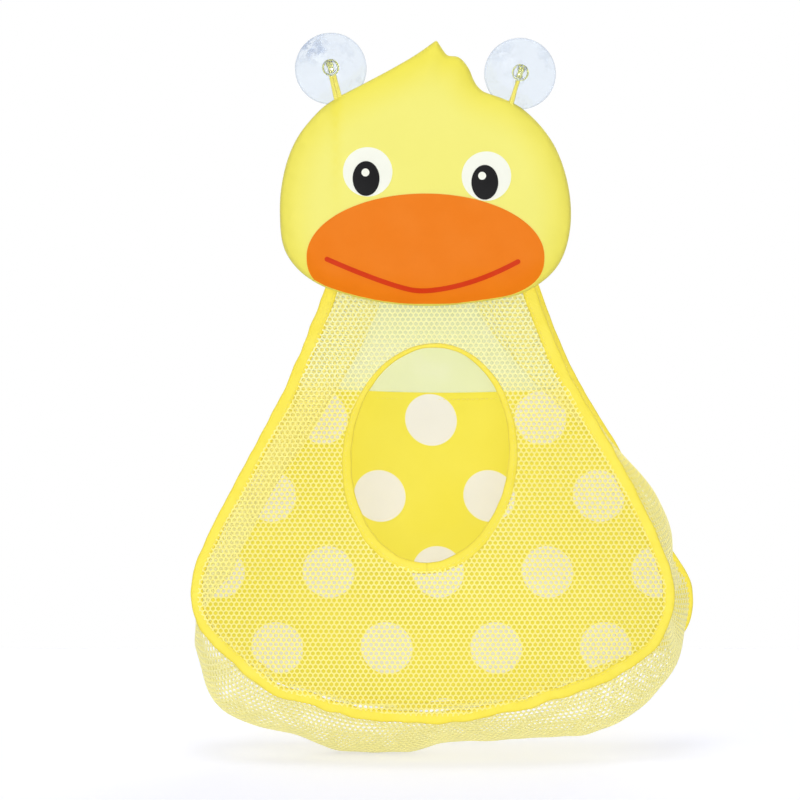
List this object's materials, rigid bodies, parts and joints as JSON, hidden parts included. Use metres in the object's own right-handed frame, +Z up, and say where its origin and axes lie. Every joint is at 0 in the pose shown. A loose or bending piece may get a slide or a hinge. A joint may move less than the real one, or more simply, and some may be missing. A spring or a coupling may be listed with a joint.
{
  "type": "bath toy organizer",
  "caption": "Hanging bath toy bag: padded duck head over a mesh pouch with an oval mouth and a dotted back, hung on the wall by suction cups on cord loops.",
  "frame": {"origin": "on the wall plane, midway between the centres of the suction cups", "axes": "+Z up along the wall, +Y into the wall, +X to the right as seen from the front"},
  "size_m": [0.3148, 0.0965, 0.4527],
  "materials": {
    "clear_pvc": "clear, polished",
    "cord": "soft braided cord",
    "head_fabric": "fine matt weave",
    "foam": "open foam",
    "orange_film": "matt pressed film",
    "red_film": "matt pressed film",
    "white_film": "matt pressed film",
    "black_film": "matt pressed film",
    "mesh_fabric": "knitted mesh",
    "binding_tape": "folded woven tape",
    "dotted_fabric": "fine weave with printed dots",
    "sheer_fabric": "sheer weave"
  },
  "bodies": {
    "wall_cups": {"suction_cup_left": "clear_pvc", "suction_cup_right": "clear_pvc"},
    "bag": {"hanging_loop_left": "cord", "hanging_loop_right": "cord", "head_front_panel": "head_fabric", "head_foam_insert": "foam", "head_back_panel": "head_fabric", "beak": "orange_film", "smile_line": "red_film", "eye_white_left": "white_film", "eye_pupil_left": "black_film", "eye_glint_left": "white_film", "eye_white_right": "white_film", "eye_pupil_right": "black_film", "eye_glint_right": "white_film", "front_mesh_panel": "mesh_fabric", "mouth_binding": "binding_tape", "front_seam_binding": "binding_tape", "gusset_mesh": "mesh_fabric", "back_seam_binding": "binding_tape", "back_panel_dotted": "dotted_fabric", "back_panel_upper": "sheer_fabric", "neck_tape": "binding_tape"}
  },
  "joints": [
    {"name": "bag_swing", "type": "hinge", "parent": "wall_cups", "child": "bag", "pos_m": [-0.00014, -0.01355, -0.0063], "axis": [-0.9996, 0, 0.0268], "range_deg": [0, 27], "deforming": ["hanging_loop_left", "hanging_loop_right"]}
  ]
}
